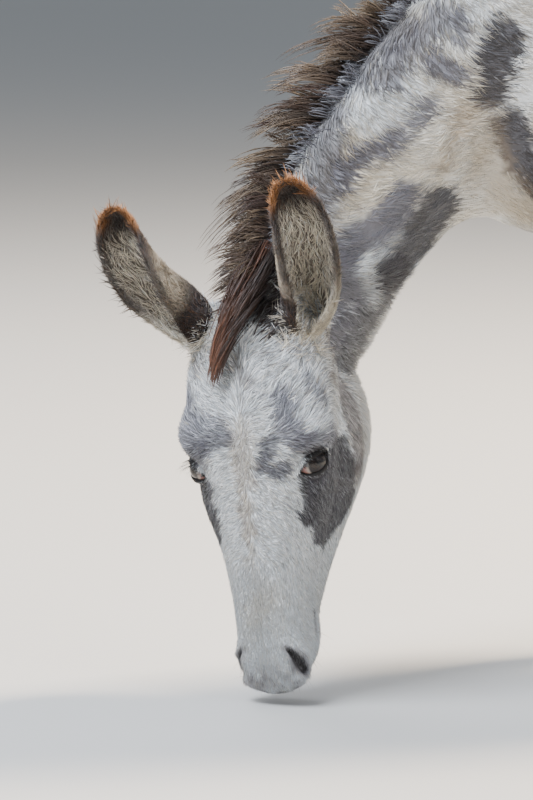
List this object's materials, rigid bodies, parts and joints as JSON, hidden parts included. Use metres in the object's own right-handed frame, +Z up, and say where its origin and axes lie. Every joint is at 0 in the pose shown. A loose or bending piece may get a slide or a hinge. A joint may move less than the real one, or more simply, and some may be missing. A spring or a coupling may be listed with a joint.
{
  "type": "donkey",
  "caption": "Life-size grazing donkey, a still museum-style model: head lowered and turned to its left, pale coat with grey patches, standing on level hooves.",
  "frame": {"origin": "on the floor, at the middle of the bounding box seen from above", "axes": "+Z up; +Y along the trunk from the breast to the tail; +X to the animal's left"},
  "size_m": [0.4642, 1.62, 1.0018],
  "materials": {
    "short_coat": "matt short animal coat, pale with grey and brown patches",
    "long_hair": "soft long animal hair in locks",
    "hoof_horn": "satin keratin horn, finely ringed",
    "eye": "wet, glossy, dark brown"
  },
  "bodies": {
    "root": {"trunk": "short_coat", "neck": "short_coat", "head": "short_coat", "mane": "long_hair", "forelock": "long_hair", "ear_left": "short_coat", "ear_right": "short_coat", "eye_left": "eye", "eye_right": "eye", "tail": "short_coat", "tail_switch": "long_hair", "fore_left_upper": "short_coat", "fore_left_lower": "short_coat", "fore_left_hoof": "hoof_horn", "fore_right_upper": "short_coat", "fore_right_lower": "short_coat", "fore_right_hoof": "hoof_horn", "hind_left_upper": "short_coat", "hind_left_lower": "short_coat", "hind_left_hoof": "hoof_horn", "hind_right_upper": "short_coat", "hind_right_lower": "short_coat", "hind_right_hoof": "hoof_horn"}
  },
  "joints": []
}
